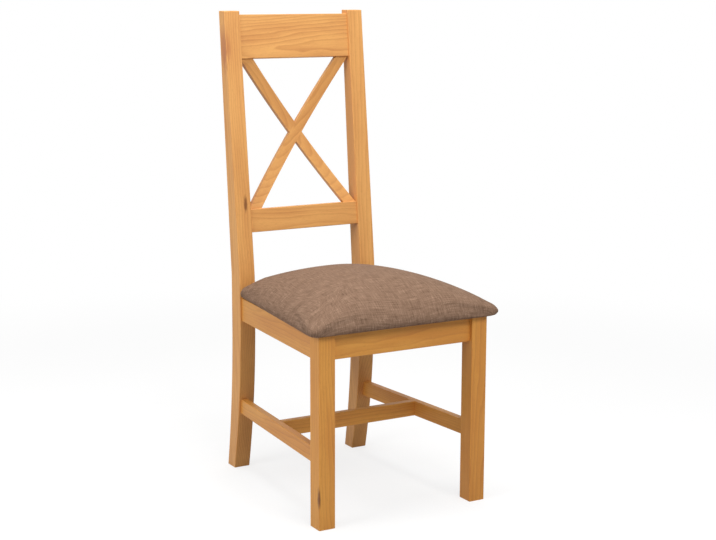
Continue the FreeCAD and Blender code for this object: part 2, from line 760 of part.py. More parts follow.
def cushion(name, bottom, skin):
    """The pad's crowned form from a level upwards, inside its outer form by a skin."""
    body = new_body(name)
    sections = []
    for step in range(UNDER_STEPS):
        level = bottom + (pad_widest - bottom) * (step / UNDER_STEPS)
        plan = pad_plan(length(1), draw_in_at(level) + skin)
        sections.append(draw(body, "%s_under_%d" % (name, step), "XY_Plane", level, plan))
    for step in range(CROWN_STEPS):
        share = 1 - power(length(step / CROWN_STEPS), size("crown_spread"))
        rise = power(1 - power(share, size("crown_fullness")), 1 / size("crown_shoulder"))
        plan = pad_plan(share, skin)
        level = pad_widest + (size("pad_crown") - skin) * rise
        sections.append(draw(body, "%s_crown_%d" % (name, step), "XY_Plane", level, plan))
    loft = body.newObject("PartDesign::AdditiveLoft", name + "_loft")
    loft.Profile = sections[0]
    loft.Sections = sections[1:]
    loft.Ruled = True
    doc.recompute()
    notch(body, skin)
    return body


def flat_sheet(name, bottom, thickness, inset, skin):
    """A flat board or sheet of the pad's plan, notched round the posts."""
    body = new_body(name)
    plan = pad_plan(length(1), inset)
    add(body, draw(body, name + "_plan", "XY_Plane", bottom + thickness / 2, plan), thickness)
    notch(body, skin)
    return body


def seat_pad():
    """Board, foam, cover and dust cover, from the inside out."""
    board = flat_sheet("seat_board", hem_top, size("board_thickness"), size("board_inset"),
                       size("cover_thickness") + size("soft_gap"))
    filling = cushion("filling", hem_top, size("cover_thickness") + size("soft_gap"))
    foam = boolean("Part::Cut", "seat_foam", filling, board)
    foam.Label = "seat_foam"
    outside = cushion("cover_outside", pad_base, length(0))
    inside = cushion("cover_inside", hem_top, size("cover_thickness"))
    window = flat_sheet("hem_window", pad_base - size("cover_thickness"), size("cover_thickness") * 3,
                        size("pad_draw_in") + size("hem_width"), size("hem_width"))
    cover = doc.addObject("Part::Feature", "seat_cover")
    cover.Shape = outside.Shape.cut(window.Shape).cut(inside.Shape)
    cover.Label = "seat_cover"
    dust_inset = size("pad_draw_in") + size("hem_width") / 2
    dust = flat_sheet("seat_dust_cover", size("frame_height"), size("dust_cover_thickness"),
                      dust_inset, size("hem_width") / 2)
    return [board, foam, cover, dust]


def frame():
    """Every piece of the timber frame."""
    pieces = []
    for side_name, side in SIDES:
        pieces.append(front_leg("front_leg_" + side_name, side))
        pieces.append(rear_post("rear_post_" + side_name, side))
        pieces.append(side_rail("side_seat_rail_" + side_name, side))
        pieces.append(side_stretcher("side_stretcher_" + side_name, side))
        for end in ("front", "rear"):
            pieces.append(corner_block("corner_block_%s_%s" % (end, side_name), side, end))
    pieces.append(centre_stretcher("centre_stretcher"))
    for name, half_span, tenon, line in (
            ("front_seat_rail", leg_inner, cross_tenon, front_rail_line),
            ("rear_seat_rail", post_inner, rear_cross_tenon, rear_rail_line)):
        pieces.append(cross_rail(name, half_span, tenon, line, rail_bottom, size("frame_height")))
    pieces.append(back_rail("lower_back_rail", size("lower_rail_rise"), lower_rail_top, lower_rail_top, 1))
    pieces.append(back_rail("crest_rail", crest_bottom, crest_top, crest_bottom, -1))
    pieces.extend(cross_slats())
    pieces.extend(seat_pad())
    return pieces


def check(pieces):
    """Stop before anything is written if an object failed."""
    doc.recompute()
    for item in doc.Objects:
        if "Invalid" in item.State or "Error" in item.State:
            raise RuntimeError("%s failed" % item.Name)
    for piece in pieces:
        if piece.Shape.isNull() or not piece.Shape.isValid():
            raise RuntimeError("%s has a bad shape" % piece.Label)


chair = frame()
check(chair)
os.makedirs("parts", exist_ok=True)
for piece in chair:
    piece.Shape.exportStep("parts/%s.step" % piece.Label)
    print("%-26s %2d solid(s) %9.0f mm3" % (piece.Label, len(piece.Shape.Solids), piece.Shape.Volume))
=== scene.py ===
import math

import bmesh
import bpy
import numpy as np
from mathutils import Euler, Matrix, Vector
from mathutils.kdtree import KDTree


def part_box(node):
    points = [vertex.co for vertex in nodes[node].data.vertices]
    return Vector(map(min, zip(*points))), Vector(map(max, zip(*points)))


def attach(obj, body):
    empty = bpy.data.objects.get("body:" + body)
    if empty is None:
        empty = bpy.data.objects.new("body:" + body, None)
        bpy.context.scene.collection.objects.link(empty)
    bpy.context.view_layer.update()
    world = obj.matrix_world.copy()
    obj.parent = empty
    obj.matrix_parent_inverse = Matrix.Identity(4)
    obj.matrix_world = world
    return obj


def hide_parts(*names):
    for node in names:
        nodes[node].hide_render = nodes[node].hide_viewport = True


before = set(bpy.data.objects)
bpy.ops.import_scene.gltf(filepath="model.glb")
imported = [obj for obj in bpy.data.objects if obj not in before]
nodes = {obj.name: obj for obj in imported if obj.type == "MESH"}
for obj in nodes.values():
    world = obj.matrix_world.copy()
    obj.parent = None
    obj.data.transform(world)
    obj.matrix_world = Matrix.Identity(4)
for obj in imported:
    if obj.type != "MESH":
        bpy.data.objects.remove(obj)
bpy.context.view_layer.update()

# Photograph's viewpoint, found from the chair's straight edges
CAMERA_PLACE = (-1.66131, -2.94235, 1.13340)
CAMERA_YAW = 0.521938
CAMERA_PITCH = 0.187248
CAMERA_ROLL = 0.002875
IMAGE_WIDTH = 716
FOCAL_PIXELS = 1540.956
SENSOR_WIDTH = 36.0

MM = 0.001
POST_RAKE = math.radians(6.37)
SIDE_SLOPE = math.radians(3.84)
SLAT_RISE = math.radians(54)


def srgb(text):
    """A hex colour as the linear colour that a shader takes."""
    parts = [int(text[i:i + 2], 16) / 255 for i in (1, 3, 5)]
    return tuple(c / 12.92 if c < 0.04045 else ((c + 0.055) / 1.055) ** 2.4 for c in parts) + (1.0,)


MATH = "ShaderNodeMath"
VECTOR = "ShaderNodeVectorMath"
MAPPING = "ShaderNodeMapping"
NOISE = "ShaderNodeTexNoise"
RAMP = "ShaderNodeValToRGB"
MIX = "ShaderNodeMix"
RANGE = "ShaderNodeMapRange"
COORDINATES = "ShaderNodeTexCoord"
BUMP = "ShaderNodeBump"
MIXED_COLOUR = 2


def add(tree, kind, inputs=(), output=0, stops=(), easing="EASE", **settings):
    """One node with its settings and links, as the output socket asked for.

    An input is a value or a socket to link. Stops are those of a colour ramp.
    """
    node = tree.nodes.new(kind)
    for name, value in settings.items():
        setattr(node, name, value)
    for key, value in dict(inputs).items():
        if isinstance(value, bpy.types.NodeSocket):
            tree.links.new(value, node.inputs[key])
        else:
            node.inputs[key].default_value = value
    if stops:
        node.color_ramp.interpolation = easing
        elements = node.color_ramp.elements
        while len(elements) < len(stops):
            elements.new(0.5)
        for element, (place, colour) in zip(elements, stops):
            element.position = place
            element.color = colour
    return node.outputs[output] if node.outputs else node


def grey(level):
    return (level, level, level, 1.0)


def new_material(name):
    material = bpy.data.materials.new(name)
    material.use_nodes = True
    tree = material.node_tree
    tree.nodes.clear()
    surface = add(tree, "ShaderNodeBsdfPrincipled")
    add(tree, "ShaderNodeOutputMaterial", {"Surface": surface})
    return material, tree, surface.node


def speckle(tree, place, cell, detail=3.0, roughness=0.55):
    """Noise in cells of a real size."""
    cells = add(tree, MAPPING, {"Vector": place, "Scale": cell}, vector_type="TEXTURE")
    return add(tree, NOISE, {"Vector": cells, "Scale": 1.0, "Detail": detail, "Roughness": roughness})


# Lacquered oak, sawn and sanded: honey ground, soft growth rings that run the length of a piece,
# short dark pores, and a satin film that keeps a low even shine
OAK_PALE = "#e4a962"
OAK_MID = "#d79a57"
OAK_RING = "#bf7e42"
# Darker, more saturated copy of the oak colours: painted shade for the pieces under the seat, which the seat
# shades and the light reaches less
SHADED_OAK_PALE = "#e0a04c"
SHADED_OAK_MID = "#d28e40"
SHADED_OAK_RING = "#b87430"
OAK_RED = "#b46f43"
OAK_DARK = "#7a4a24"
RING_WIDTH = 4.5 * MM
FIBRE_CELL = (1.6 * MM, 1.6 * MM, 70 * MM)
PORE_CELL = (0.7 * MM, 0.7 * MM, 9 * MM)
CLOUD_CELL = (45 * MM, 45 * MM, 260 * MM)
WANDER_CELL = (60 * MM, 60 * MM, 320 * MM)
RING_WANDER = 16 * MM
RING_STOPS = ((0.0, grey(0.0)), (0.55, grey(0.35)), (0.86, grey(1.0)), (1.0, grey(0.0)))
CLOUD_STOPS = ((0.3, grey(0.0)), (0.7, grey(1.0)))
STREAK_STOPS = ((0.35, grey(0.0)), (0.7, grey(1.0)))
PORE_STOPS = ((0.56, grey(0.0)), (0.68, grey(1.0)))
MARK_STOPS = ((0.3, grey(1.0)), (1.0, grey(0.0)))
STREAK_SHARE = 0.18
PORE_SHARE = 0.16


def oak(name, heart, turn, redness=0.2, contrast=0.38, marks=(), painted_shade=False):
    """Oak whose growth rings are centred on a heart line with the grain turned along the piece; its darker
    colour set is painted shade for pieces under the seat.
    """
    material, tree, shader = new_material(name)
    pale, mid, line = (SHADED_OAK_PALE, SHADED_OAK_MID, SHADED_OAK_RING) if painted_shade else (OAK_PALE, OAK_MID, OAK_RING)
    place = add(tree, COORDINATES, output="Object")
    board = add(tree, MAPPING, {"Vector": place, "Location": heart, "Rotation": turn},
                vector_type="TEXTURE")
    wander = add(tree, MATH, {0: speckle(tree, board, WANDER_CELL), 1: 0.5}, operation="SUBTRACT")
    wander = add(tree, MATH, {0: wander, 1: RING_WANDER}, operation="MULTIPLY")
    across = add(tree, VECTOR, {0: board, 1: (1, 1, 0)}, operation="MULTIPLY")
    radius = add(tree, VECTOR, {0: across}, "Value", operation="LENGTH")
    radius = add(tree, MATH, {0: radius, 1: wander}, operation="ADD")
    year = add(tree, MATH, {0: radius, 1: RING_WIDTH}, operation="DIVIDE")
    year = add(tree, MATH, {0: year}, operation="FRACT")
    late = add(tree, RAMP, {0: year}, stops=RING_STOPS)
    fibre = speckle(tree, board, FIBRE_CELL, 4.0, 0.6)
    streak = add(tree, RAMP, {0: fibre}, stops=STREAK_STOPS)
    cloud = add(tree, RAMP, {0: speckle(tree, board, CLOUD_CELL)}, stops=CLOUD_STOPS)
    pores = add(tree, RAMP, {0: speckle(tree, board, PORE_CELL, 2.0, 0.5)}, stops=PORE_STOPS)
    colour = add(tree, MIX, {0: cloud, 6: srgb(pale), 7: srgb(mid)}, MIXED_COLOUR, data_type="RGBA")
    late_cloud = add(tree, MATH, {0: late, 1: cloud}, operation="MULTIPLY")
    layers = [(late, contrast, line), (late_cloud, redness, OAK_RED),
              (streak, STREAK_SHARE, line), (pores, PORE_SHARE, OAK_DARK)]
    for centre, radii, hue, strength in marks:
        local = add(tree, MAPPING, {"Vector": place, "Location": centre, "Rotation": turn, "Scale": radii},
                    vector_type="TEXTURE")
        wisp = add(tree, NOISE, {"Vector": local, "Scale": 1.7, "Detail": 3.0, "Roughness": 0.6})
        ragged = add(tree, VECTOR, {0: local, 1: wisp}, operation="ADD")
        ragged = add(tree, VECTOR, {0: ragged, 1: (0.5, 0.5, 0.5)}, operation="SUBTRACT")
        ball = add(tree, VECTOR, {0: ragged}, "Value", operation="LENGTH")
        layers.append((add(tree, RAMP, {0: ball}, stops=MARK_STOPS), strength, hue))
    for pattern, share, hue in layers:
        amount = add(tree, MATH, {0: pattern, 1: share}, operation="MULTIPLY")
        colour = add(tree, MIX, {0: amount, 6: colour, 7: srgb(hue)}, MIXED_COLOUR, data_type="RGBA")
    tree.links.new(colour, shader.inputs["Base Color"])
    tree.links.new(add(tree, RANGE, {0: fibre, 3: 0.38, 4: 0.52}), shader.inputs["Roughness"])
    relief = add(tree, MATH, {0: fibre, 1: 0.4}, operation="MULTIPLY")
    relief = add(tree, MATH, {0: relief, 1: pores}, operation="SUBTRACT")
    bump = add(tree, BUMP, {"Strength": 0.2, "Distance": 0.1 * MM, "Height": relief})
    tree.links.new(bump, shader.inputs["Normal"])
    shader.inputs["Specular IOR Level"].default_value = 0.3
    return material


def dress(node, material):
    for place in nodes[node].material_slots:
        place.material = material


RAKED = (-POST_RAKE, 0.0, 0.0)
CROSSWISE = (0.0, math.radians(90), 0.0)
LEFT_SIDE = (math.radians(-90), 0.0, -SIDE_SLOPE)
RIGHT_SIDE = (math.radians(-90), 0.0, SIDE_SLOPE)
RISING = (0.0, math.pi / 2 - SLAT_RISE, 0.0)
FALLING = (0.0, SLAT_RISE - math.pi / 2, 0.0)

WOOD = {
    "front_leg_left": ((-0.150, -0.20, 0), (0.012, -0.016, 0.3), {"marks": (
        ((-0.2075, -0.254, 0.070), (0.005, 0.010, 0.032), OAK_DARK, 0.95),)}),
    "front_leg_right": ((0.225, -0.16, 0), (-0.010, 0.012, 1.1), {}),
    "rear_post_left": ((-0.120, 0.22, 0.5), (RAKED[0] + 0.008, -0.008, 0.0), {"marks": (
        ((-0.1525, 0.1945, 0.628), (0.006, 0.010, 0.024), OAK_DARK, 0.9),
        ((-0.174, 0.2452, 0.975), (0.014, 0.024, 0.065), OAK_RED, 0.85))}),
    "rear_post_right": ((0.195, 0.27, 0.5), (RAKED[0] - 0.006, 0.010, 0.0), {}),
    "crest_rail": ((0, 0.31, 0.965), (0.02, math.radians(90) - 0.03, 0.0),
                   {"redness": 0.4, "contrast": 0.5}),
    "lower_back_rail": ((0, 0.25, 0.57), (0.0, math.radians(90) + 0.03, 0.0), {"redness": 0.3}),
    "front_seat_rail": ((0, -0.16, 0.40), (0.0, math.radians(90) + 0.012, 0.0), {"contrast": 0.3}),
    "rear_seat_rail": ((0, 0.26, 0.37), CROSSWISE, {}),
    "centre_stretcher": ((0, 0.02, 0.13), (0.0, math.radians(90) + 0.02, 0.0), {}),
    "side_seat_rail_left": ((-0.15, 0, 0.41), LEFT_SIDE, {"contrast": 0.3}),
    "side_seat_rail_right": ((0.15, 0, 0.36), RIGHT_SIDE, {}),
    "side_stretcher_left": ((-0.16, 0, 0.17), LEFT_SIDE, {}),
    "side_stretcher_right": ((0.16, 0, 0.14), RIGHT_SIDE, {}),
    "cross_slat_rising": ((0, 0.27, 0.79), RISING, {"redness": 0.3}),
    "cross_slat_falling": ((0, 0.27, 0.77), FALLING, {"redness": 0.3}),
}
# Pieces lower than the seat board, except the rear posts, take the darker oak colours as painted shade
for node, (heart, turn, changes) in WOOD.items():
    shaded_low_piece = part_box(node)[0].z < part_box("seat_board")[0].z and not node.startswith("rear_post")
    dress(node, oak("lacquered_oak_" + node, heart, turn, painted_shade=shaded_low_piece, **changes))


def plain_timber(name, pale, dark, turn, ring):
    """Unfinished timber inside the seat: rings without lacquer, rough and dry."""
    material, tree, shader = new_material(name)
    place = add(tree, COORDINATES, output="Object")
    board = add(tree, MAPPING, {"Vector": place, "Rotation": turn}, vector_type="TEXTURE")
    fibre = speckle(tree, board, FIBRE_CELL, 4.0)
    wander = add(tree, MATH, {0: fibre, 1: ring}, operation="MULTIPLY")
    across = add(tree, "ShaderNodeSeparateXYZ", {0: board})
    year = add(tree, MATH, {0: across, 1: wander}, operation="ADD")
    year = add(tree, MATH, {0: year, 1: ring}, operation="DIVIDE")
    year = add(tree, MATH, {0: year}, operation="FRACT")
    late = add(tree, RAMP, {0: year}, stops=((0.0, grey(0.0)), (0.8, grey(0.9)), (1.0, grey(0.0))))
    colour = add(tree, MIX, {0: late, 6: srgb(pale), 7: srgb(dark)}, MIXED_COLOUR, data_type="RGBA")
    tree.links.new(colour, shader.inputs["Base Color"])
    shader.inputs["Roughness"].default_value = 0.8
    bump = add(tree, BUMP, {"Strength": 0.4, "Distance": 0.2 * MM, "Height": fibre})
    tree.links.new(bump, shader.inputs["Normal"])
    return material


block_pine = plain_timber("sawn_pine", "#dcbb8a", "#c09560", (0, math.radians(90), 0.7), 6 * MM)
for end in ("front", "rear"):
    for side in ("left", "right"):
        dress("corner_block_%s_%s" % (end, side), block_pine)
dress("seat_board", plain_timber("birch_plywood", "#e2c79b", "#b58a58", (0, 0, 0), 1.4 * MM))


def zinc_plate():
    """Zinc-plated steel: bright grey with the faint cloudy bloom of the plating bath."""
    material, tree, shader = new_material("zinc_plated_steel")
    place = add(tree, COORDINATES, output="Object")
    bloom = speckle(tree, place, (3 * MM,) * 3)
    colour = add(tree, RAMP, {0: bloom}, stops=((0.3, srgb("#b9bab6")), (0.7, srgb("#d8d8d2"))))
    tree.links.new(colour, shader.inputs["Base Color"])
    shader.inputs["Metallic"].default_value = 1.0
    tree.links.new(add(tree, RANGE, {0: bloom, 3: 0.25, 4: 0.42}), shader.inputs["Roughness"])
    return material


def spun_cloth():
    """Black non-woven polypropylene: matted fibres and a grid of small heat-pressed dimples."""
    material, tree, shader = new_material("spunbond_dust_cloth")
    place = add(tree, COORDINATES, output="Object")
    fibres = speckle(tree, place, (1.5 * MM,) * 3, 5.0, 0.7)
    grid = add(tree, MAPPING,
               {"Vector": place, "Rotation": (0, 0, math.radians(45)), "Scale": (3 * MM,) * 3},
               vector_type="TEXTURE")
    pressed = add(tree, "ShaderNodeTexVoronoi", {"Vector": grid, "Scale": 1.0, "Randomness": 0.0})
    dimple = add(tree, RAMP, {0: pressed}, stops=((0.15, grey(0.0)), (0.3, grey(1.0))))
    colour = add(tree, MIX, {0: fibres, 6: srgb("#141414"), 7: srgb("#2c2b2a")}, MIXED_COLOUR,
                 data_type="RGBA")
    tree.links.new(colour, shader.inputs["Base Color"])
    shader.inputs["Roughness"].default_value = 0.85
    height = add(tree, MATH, {0: fibres, 1: 0.5}, operation="MULTIPLY")
    height = add(tree, MATH, {0: height, 1: dimple}, operation="ADD")
    bump = add(tree, BUMP, {"Strength": 0.5, "Distance": 0.2 * MM, "Height": height})
    tree.links.new(bump, shader.inputs["Normal"])
    return material


dress("seat_dust_cover", spun_cloth())

# Seat pad: one sheet of cloth drawn over the crowned foam and turned under its edge
cover_low, cover_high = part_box("seat_cover")
PAD_FRONT = cover_low.y
PAD_REAR = cover_high.y
PAD_BASE = cover_low.z
PAD_TOP = cover_high.z
PAD_WIDEST = 0.4285
PAD_FRONT_HALF = 0.233
PAD_REAR_HALF = 0.1755
PAD_CROWN_PLACE = 0.177
PAD_DRAW_IN = 0.020
HEM_WIDTH = 0.030
CORNER_RADIUS = 0.014
CROWN_CORNER = 0.280
CROWN_FULLNESS = 2.43
CROWN_SHOULDER = 1.25
PAD_GRID = 92
UNDER_SHARE = 0.16
POST_GAP = 0.8 * MM
POST_FRONT = PAD_REAR - 30.5 * MM
CLOTH_STEP = 4.5 * MM
CLOTH_FRAMES = 20
CLOTH_CAP = 4 * MM
HELD_HEIGHT = 4 * MM
START_LOW = 2.5 * MM
START_IN = 0.5 * MM
EDGE_FULL = 3 * MM
EDGE_ROLL = 13 * MM


def pad_point(across, along, share, inset):
    """A point of the pad's plan for a direction on a square of side 2, at a share of its widest plan."""
    middle = PAD_FRONT + PAD_CROWN_PLACE
    radius = share * (CORNER_RADIUS + (1 - share) * CROWN_CORNER)
    half = max(share * PAD_REAR_HALF, 1e-6)
    fullness = math.log(2) / -math.log(1 - (1 - math.sqrt(0.5)) * min(radius / half, 0.98))
    reach = max((abs(across) ** fullness + abs(along) ** fullness) ** (1 / fullness), 1e-9)
    across, along = across / reach, along / reach
    depth = PAD_CROWN_PLACE if along < 0 else PAD_REAR - middle
    y = middle + along * (depth * share - inset)
    low, high = middle - PAD_CROWN_PLACE * share, middle + (PAD_REAR - middle) * share
    run = min(max((y - low) / max(high - low, 1e-6), 0), 1)
    width = share * (PAD_FRONT_HALF + (PAD_REAR_HALF - PAD_FRONT_HALF) * run) - inset
    return across * width, y


def pad_sheet():
    """The cloth as a square grid shaped over the pad, with its thread lines measured along it."""
    work = bmesh.new()
    bmesh.ops.create_grid(work, x_segments=PAD_GRID, y_segments=PAD_GRID, size=1 + UNDER_SHARE * 2)
    for vert in work.verts:
        a, b = vert.co.x, vert.co.y
        size = max(abs(a), abs(b), 1e-9)
        across, along = a / size, b / size
        if size <= 1:
            share = size
            rise = (1 - share ** CROWN_FULLNESS) ** (1 / CROWN_SHOULDER)
            x, y = pad_point(across, along, share, START_IN - EDGE_FULL * share ** 8)
            inward = 1 - min((1 - share) * PAD_FRONT_HALF / EDGE_ROLL, 1)
            roll = EDGE_ROLL * math.sqrt(1 - inward * inward)
            z = PAD_WIDEST + max((PAD_TOP - START_LOW - PAD_WIDEST) * rise, roll)
        elif size <= 1 + UNDER_SHARE:
            drop = (size - 1) / UNDER_SHARE * math.pi / 2
            inset = START_IN - EDGE_FULL * math.cos(drop) + PAD_DRAW_IN * (1 - math.sqrt(abs(math.cos(drop))))
            x, y = pad_point(across, along, 1, inset)
            z = PAD_WIDEST - (PAD_WIDEST - PAD_BASE) * math.sin(drop)
        else:
            hem = (size - 1 - UNDER_SHARE) / UNDER_SHARE
            x, y = pad_point(across, along, 1, PAD_DRAW_IN + HEM_WIDTH * hem)
            z = PAD_BASE
        vert.co = (x, y, z)
    return work


def thread_lines(work):
    """Each grid vertex's run along the cloth from its middle thread, both ways."""
    side = PAD_GRID + 1
    places = np.array([v.co[:] for v in work.verts]).reshape(side, side, 3)
    lines = np.zeros((side, side, 2))
    for axis in (0, 1):
        steps = np.linalg.norm(np.diff(places, axis=axis), axis=2)
        runs = np.concatenate([np.zeros_like(np.take(steps, [0], axis)), np.cumsum(steps, axis)], axis)
        lines[..., axis] = runs - np.take(runs, [side // 2], axis)
    return places.reshape(-1, 3), lines.reshape(-1, 2)


def block_between(low, high):
    """A closed block as a bmesh, for cutting."""
    work = bmesh.new()
    bmesh.ops.create_cube(work, size=1)
    low, high = Vector(low), Vector(high)
    for vert in work.verts:
        vert.co = [(low[i] + high[i]) / 2 + vert.co[i] * (high[i] - low[i]) for i in range(3)]
    return work


def object_of(work, name):
    mesh = bpy.data.meshes.new(name)
    work.to_mesh(mesh)
    work.free()
    thing = bpy.data.objects.new(name, mesh)
    bpy.context.scene.collection.objects.link(thing)
    return thing


def settle(thing):
    """Apply every modifier."""
    graph = bpy.context.evaluated_depsgraph_get()
    mesh = bpy.data.meshes.new_from_object(thing.evaluated_get(graph))
    old = thing.data
    thing.modifiers.clear()
    thing.data = mesh
    bpy.data.meshes.remove(old)


def seat_pad():
    """The upholstered pad: closed form, notched at the posts, then filled out as cloth."""
    sheet = pad_sheet()
    places, lines = thread_lines(sheet)
    rim = [edge for edge in sheet.edges if edge.is_boundary]
    bmesh.ops.holes_fill(sheet, edges=rim, sides=0)
    bmesh.ops.recalc_face_normals(sheet, faces=sheet.faces)
    pad = object_of(sheet, "upholstered_seat")
    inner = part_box("rear_post_right")[0].x - POST_GAP
    notch_front = POST_FRONT - POST_GAP
    for side in (-1, 1):
        left, right = sorted((side * inner, side))
        cutter = object_of(block_between((left, notch_front, 0), (right, 1, 1)), "cutter")
        cut = pad.modifiers.new("notch", "BOOLEAN")
        cut.object = cutter
        cut.operation = "DIFFERENCE"
        cut.solver = "EXACT"
        settle(pad)
        bpy.data.objects.remove(cutter)
    remesh = pad.modifiers.new("even", "REMESH")
    remesh.mode = "VOXEL"
    remesh.voxel_size = CLOTH_STEP
    settle(pad)
    smooth = pad.modifiers.new("soften", "SMOOTH")
    smooth.factor = 0.5
    smooth.iterations = 4
    settle(pad)
    start = [v.co.copy() for v in pad.data.vertices]
    fill_out(pad, start)
    keep_clear(pad, inner, notch_front)
    finer = pad.modifiers.new("finer", "SUBSURF")
    finer.levels = finer.render_levels = 1
    settle(pad)
    keep_clear(pad, inner, notch_front)
    mark_threads(pad, places, lines)
    for face in pad.data.polygons:
        face.use_smooth = True
    return pad


def fill_out(pad, start):
    """Cloth under pressure from the foam, held where it is turned under the board."""
    held = pad.vertex_groups.new(name="held")
    held.add([i for i, place in enumerate(start) if place.z < PAD_BASE + HELD_HEIGHT], 1.0, "REPLACE")
    cloth = pad.modifiers.new("cloth", "CLOTH")
    cloth.settings.vertex_group_mass = "held"
    cloth.settings.quality = 6
    cloth.settings.mass = 0.3
    cloth.settings.tension_stiffness = 25
    cloth.settings.compression_stiffness = 25
    cloth.settings.shear_stiffness = 8
    cloth.settings.bending_stiffness = 1.5
    cloth.settings.use_pressure = True
    cloth.settings.uniform_pressure_force = 2.5
    cloth.settings.effector_weights.gravity = 0
    cloth.collision_settings.use_collision = False
    cloth.point_cache.frame_start = 1
    cloth.point_cache.frame_end = CLOTH_FRAMES
    scene = bpy.context.scene
    for step in range(1, CLOTH_FRAMES + 1):
        scene.frame_set(step)
    graph = bpy.context.evaluated_depsgraph_get()
    filled = pad.evaluated_get(graph).to_mesh()
    moved = [v.co.copy() for v in filled.vertices]
    pad.modifiers.clear()
    scene.frame_set(1)
    for vert, place, went in zip(pad.data.vertices, start, moved):
        push = went - place
        if push.length > CLOTH_CAP:
            push *= CLOTH_CAP / push.length
        vert.co = place + push


def keep_clear(pad, inner, front):
    """Nothing of the cloth goes into the seat frame below it or into the posts."""
    for vert in pad.data.vertices:
        place = vert.co
        place.z = max(place.z, PAD_BASE)
        if abs(place.x) > inner and place.y > front:
            to_front = place.y - front
            to_inner = abs(place.x) - inner
            if to_front < to_inner:
                place.y = front
            else:
                place.x = math.copysign(inner, place.x)


def mark_threads(pad, places, lines):
    """Give every vertex the thread lines of the nearest cloth, in metres."""
    tree = KDTree(len(places))
    for i, place in enumerate(places):
        tree.insert(place, i)
    tree.balance()
    threads = pad.data.attributes.new("thread_lines", "FLOAT_VECTOR", "POINT")
    values = np.zeros((len(pad.data.vertices), 3))
    for vert in pad.data.vertices:
        total = 0.0
        mean = np.zeros(2)
        for _, i, distance in tree.find_n(vert.co, 4):
            weight = 1 / (distance + 0.2 * MM) ** 2
            mean += lines[i] * weight
            total += weight
        values[vert.index, :2] = mean / total
    threads.data.foreach_set("vector", values.ravel())


# Linen-look polyester: plain weave with uneven slub threads both ways, so the colour is mottled
LINEN_DARK = "#5a4434"
LINEN_MID = "#7e6350"
LINEN_PALE = "#9d816c"
WARP_CELL = (1.7 * MM, 45 * MM, 1)
WEFT_CELL = (30 * MM, 2.1 * MM, 1)
THREAD = 1.5 * MM
WEAVE_SHARE = 0.35
SLUB_SHARE = 1.6
LINEN_STOPS = ((0.36, srgb(LINEN_DARK)), (0.5, srgb(LINEN_MID)), (0.66, srgb(LINEN_PALE)))


def linen():
    """The pad's cover, its pattern drawn along the thread lines of the cloth."""
    material, tree, shader = new_material("slub_linen_weave")
    lines = add(tree, "ShaderNodeAttribute", output="Vector", attribute_name="thread_lines")
    warp = add(tree, MATH, {0: speckle(tree, lines, WARP_CELL, 3.0, 0.6), 1: 0.5}, operation="MULTIPLY")
    weft = add(tree, MATH, {0: speckle(tree, lines, WEFT_CELL, 3.0, 0.6), 1: 0.5}, operation="MULTIPLY")
    both = add(tree, MATH, {0: warp, 1: weft}, operation="ADD")
    slub = add(tree, RAMP, {0: both}, stops=LINEN_STOPS, easing="LINEAR")
    cloud = speckle(tree, lines, (60 * MM, 60 * MM, 1), 3.0, 0.6)
    cloud = add(tree, MATH, {0: cloud, 1: 0.25}, operation="MULTIPLY")
    colour = add(tree, MIX, {0: cloud, 6: slub, 7: srgb(LINEN_MID)}, MIXED_COLOUR, data_type="RGBA")
    tree.links.new(colour, shader.inputs["Base Color"])
    shader.inputs["Roughness"].default_value = 0.9
    shader.inputs["Specular IOR Level"].default_value = 0.2
    phases = add(tree, VECTOR, {0: lines, 1: (math.pi / THREAD,) * 3}, operation="MULTIPLY")
    waves = add(tree, VECTOR, {0: phases}, operation="SINE")
    over = add(tree, "ShaderNodeSeparateXYZ", {0: waves})
    weave = add(tree, MATH, {0: over, 1: over.node.outputs[1]}, operation="MULTIPLY")
    height = add(tree, MATH, {0: weave, 1: WEAVE_SHARE}, operation="MULTIPLY")
    slubs = add(tree, MATH, {0: both, 1: SLUB_SHARE}, operation="MULTIPLY")
    height = add(tree, MATH, {0: height, 1: slubs}, operation="ADD")
    bump = add(tree, BUMP, {"Strength": 0.5, "Distance": 0.5 * MM, "Height": height})
    tree.links.new(bump, shader.inputs["Normal"])
    return material


pad = seat_pad()
pad.data.materials.clear()
pad.data.materials.append(linen())
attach(pad, "root")
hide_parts("seat_cover", "seat_foam")


HEAD_PROFILE = ((0.0, 2.5), (1.6, 2.4), (2.9, 1.9), (3.7, 1.0), (4.0, 0.0), (0.0, 0.0))
SCREW_SPREAD = 15 * MM
SEAT_SCREW_PLACE = 15 * MM


def screw_head():
    """A pan head with a cross recess, standing on the XY plane."""
    work = bmesh.new()
    verts = [work.verts.new((x * MM, 0, z * MM)) for x, z in HEAD_PROFILE]
    edges = [work.edges.new(pair) for pair in zip(verts, verts[1:])]
    bmesh.ops.spin(work, geom=verts + edges, cent=(0, 0, 0), axis=(0, 0, 1), angle=math.tau, steps=32,
                   use_merge=True)
    bmesh.ops.remove_doubles(work, verts=work.verts, dist=0.02 * MM)
    bmesh.ops.recalc_face_normals(work, faces=work.faces)
    head = object_of(work, "screw_head")
    for length, width in ((2.3, 0.45), (0.45, 2.3)):
        low, high = (-length * MM, -width * MM, 1.0 * MM), (length * MM, width * MM, 4.0 * MM)
        cutter = object_of(block_between(low, high), "cutter")
        cut = head.modifiers.new("recess", "BOOLEAN")
        cut.object = cutter
        cut.operation = "DIFFERENCE"
        cut.solver = "EXACT"
        settle(head)
        bpy.data.objects.remove(cutter)
    return head


